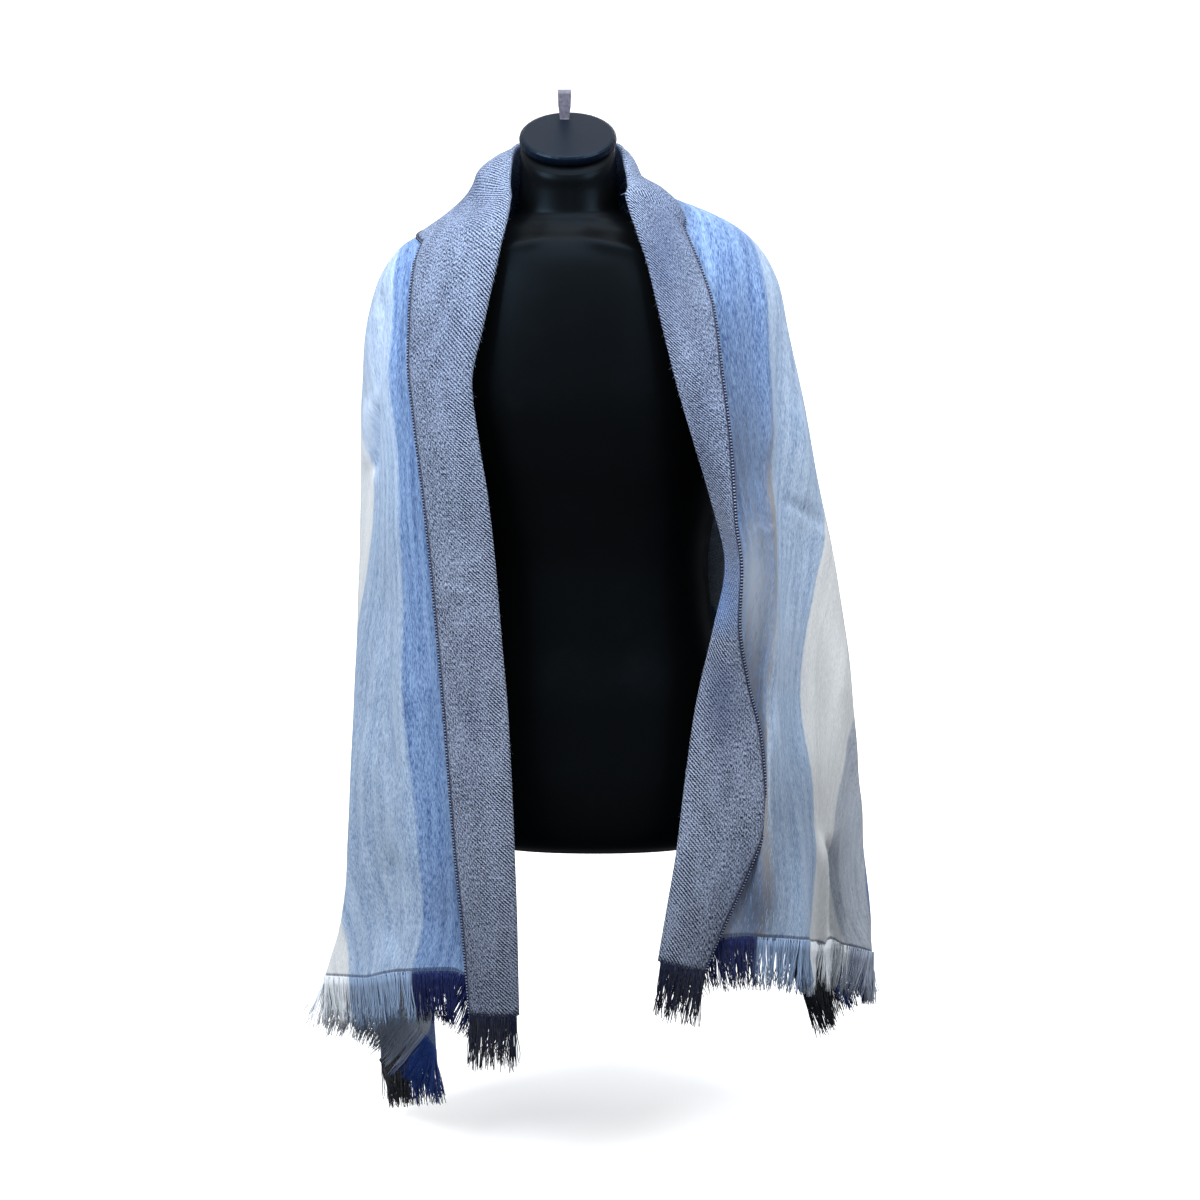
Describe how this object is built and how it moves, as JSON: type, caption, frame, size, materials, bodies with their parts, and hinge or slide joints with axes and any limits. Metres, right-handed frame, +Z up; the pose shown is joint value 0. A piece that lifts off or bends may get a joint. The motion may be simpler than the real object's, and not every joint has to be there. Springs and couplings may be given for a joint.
{
  "type": "shawl on hanging torso form",
  "caption": "Long striped woven shawl with fringed ends, worn open over a smooth limbless torso form that hangs by a ribbon loop at its neck.",
  "frame": {"origin": "top of the hanging loop, where a rail or hook holds it", "axes": "+Z up, the wearer faces -Y, +X is the viewer's right from the front"},
  "size_m": [0.622, 0.3195, 1.1672],
  "materials": {
    "cloth": "brushed woven cloth in broad stripes",
    "yarn": "loose yarn fringe",
    "form": "semi-gloss black",
    "ribbon": "satin"
  },
  "bodies": {
    "root": {"shawl_front_left": "cloth", "shawl_back": "cloth", "shawl_front_right": "cloth", "collar_back": "cloth", "collar_left": "cloth", "collar_right": "cloth", "fringe_left": "yarn", "fringe_right": "yarn", "fringe_collar_left": "yarn", "fringe_collar_right": "yarn", "torso_form": "form", "neck_cap": "form", "hanging_loop": "ribbon"}
  },
  "joints": []
}
